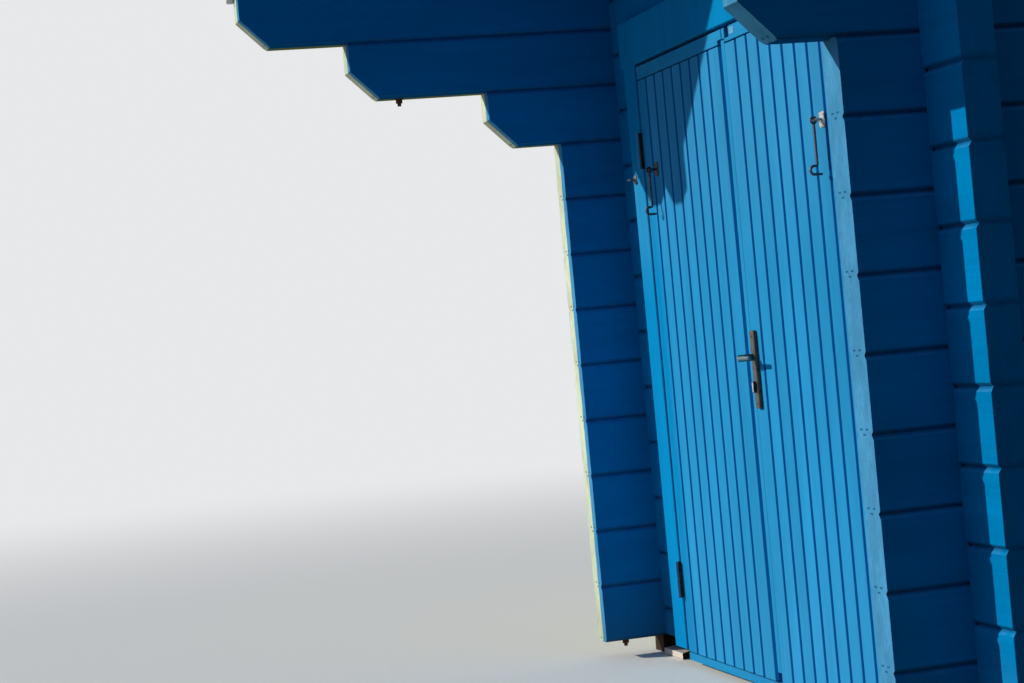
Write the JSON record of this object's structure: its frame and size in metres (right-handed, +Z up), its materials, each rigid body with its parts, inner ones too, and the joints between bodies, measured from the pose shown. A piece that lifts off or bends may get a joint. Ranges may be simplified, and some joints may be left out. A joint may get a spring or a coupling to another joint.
{
  "type": "beach hut",
  "caption": "Log-built beach hut with a gabled roof carried on stepped corbels, a recessed outward-opening double door, cabin hooks and box gutters.",
  "frame": {"origin": "on the ground, under the middle of the bounding box", "axes": "+X to the right seen from the door side, +Y back from the door into the hut, +Z up"},
  "size_m": [2.7054, 4.487, 3.8637],
  "materials": {
    "grey_timber": "rough weathered timber",
    "bare_timber": "planed timber",
    "left_wing_paint": "weathered paint on timber",
    "blue_log_paint": "weathered paint on timber",
    "blue_joinery_paint": "paint on timber",
    "soffit_paint": "paint on timber",
    "roof_covering": "matte sheet covering",
    "white_paint": "paint on timber",
    "gutter_metal": "coated sheet metal",
    "rusty_iron": "rusty",
    "dark_hinge_metal": "worn",
    "worn_zinc": "worn zinc",
    "dark_hook_metal": "dull",
    "dark_bronze": "dull dark",
    "worn_steel": "worn",
    "worn_zinc_lever": "satin"
  },
  "bodies": {
    "hut": {"packers": "grey_timber", "threshold": "grey_timber", "floor_boards": "bare_timber", "floor_bearers": "grey_timber", "left_wall": "left_wing_paint", "left_corbel_1": "left_wing_paint", "left_corbel_2": "left_wing_paint", "left_corbel_3": "left_wing_paint", "left_top_log": "left_wing_paint", "right_wall": "blue_log_paint", "right_corbel_1": "blue_log_paint", "right_corbel_2": "blue_log_paint", "right_corbel_3": "blue_log_paint", "right_top_log": "blue_log_paint", "front_logs_left": "blue_log_paint", "front_logs_right": "blue_log_paint", "front_logs_over": "blue_log_paint", "back_wall": "blue_log_paint", "log_ends": "blue_log_paint", "door_frame": "blue_joinery_paint", "casings": "blue_joinery_paint", "barge_rafters": "blue_joinery_paint", "left_soffit": "soffit_paint", "right_soffit": "soffit_paint", "left_roof": "roof_covering", "right_roof": "roof_covering", "ridge_cap": "roof_covering", "bargeboards": "white_paint", "left_gutter": "gutter_metal", "right_gutter": "gutter_metal", "tie_rods": "rusty_iron", "catch_eyes": "rusty_iron", "frame_hinges": "dark_hinge_metal"},
    "left_door": {"left_leaf": "blue_joinery_paint", "left_leaf_hinges": "dark_hinge_metal", "left_hook_plate": "worn_zinc"},
    "left_cabin_hook": {"left_hook": "dark_hook_metal"},
    "right_door": {"right_leaf": "blue_joinery_paint", "right_leaf_hinges": "dark_hinge_metal", "right_hook_plate": "worn_zinc", "meeting_strip": "blue_joinery_paint", "handle_plate": "dark_bronze", "lock_cylinder": "worn_steel"},
    "right_cabin_hook": {"right_hook": "dark_hook_metal"},
    "door_lever": {"lever": "worn_zinc_lever"}
  },
  "joints": [
    {"name": "left_door_swing", "type": "hinge", "parent": "hut", "child": "left_door", "pos_m": [-0.91325, -0.9085, 1.02], "axis": [0, 0, -1], "range_deg": [0, 95]},
    {"name": "right_door_swing", "type": "hinge", "parent": "hut", "child": "right_door", "pos_m": [0.71575, -0.9085, 1.02], "axis": [0, 0, 1], "range_deg": [0, 95]},
    {"name": "left_hook_swing", "type": "hinge", "parent": "left_door", "child": "left_cabin_hook", "pos_m": [-0.79475, -0.9195, 1.666], "axis": [-1, 0, 0], "range_deg": [0, 95]},
    {"name": "right_hook_swing", "type": "hinge", "parent": "right_door", "child": "right_cabin_hook", "pos_m": [0.59725, -0.9195, 1.666], "axis": [-1, 0, 0], "range_deg": [0, 95]},
    {"name": "lever_turn", "type": "hinge", "parent": "right_door", "child": "door_lever", "pos_m": [-0.04475, -0.9265, 1.031], "axis": [0, 1, 0], "range_deg": [0, 45], "stiffness_Nm_per_rad": 1.2, "springref_deg": -20.05}
  ]
}
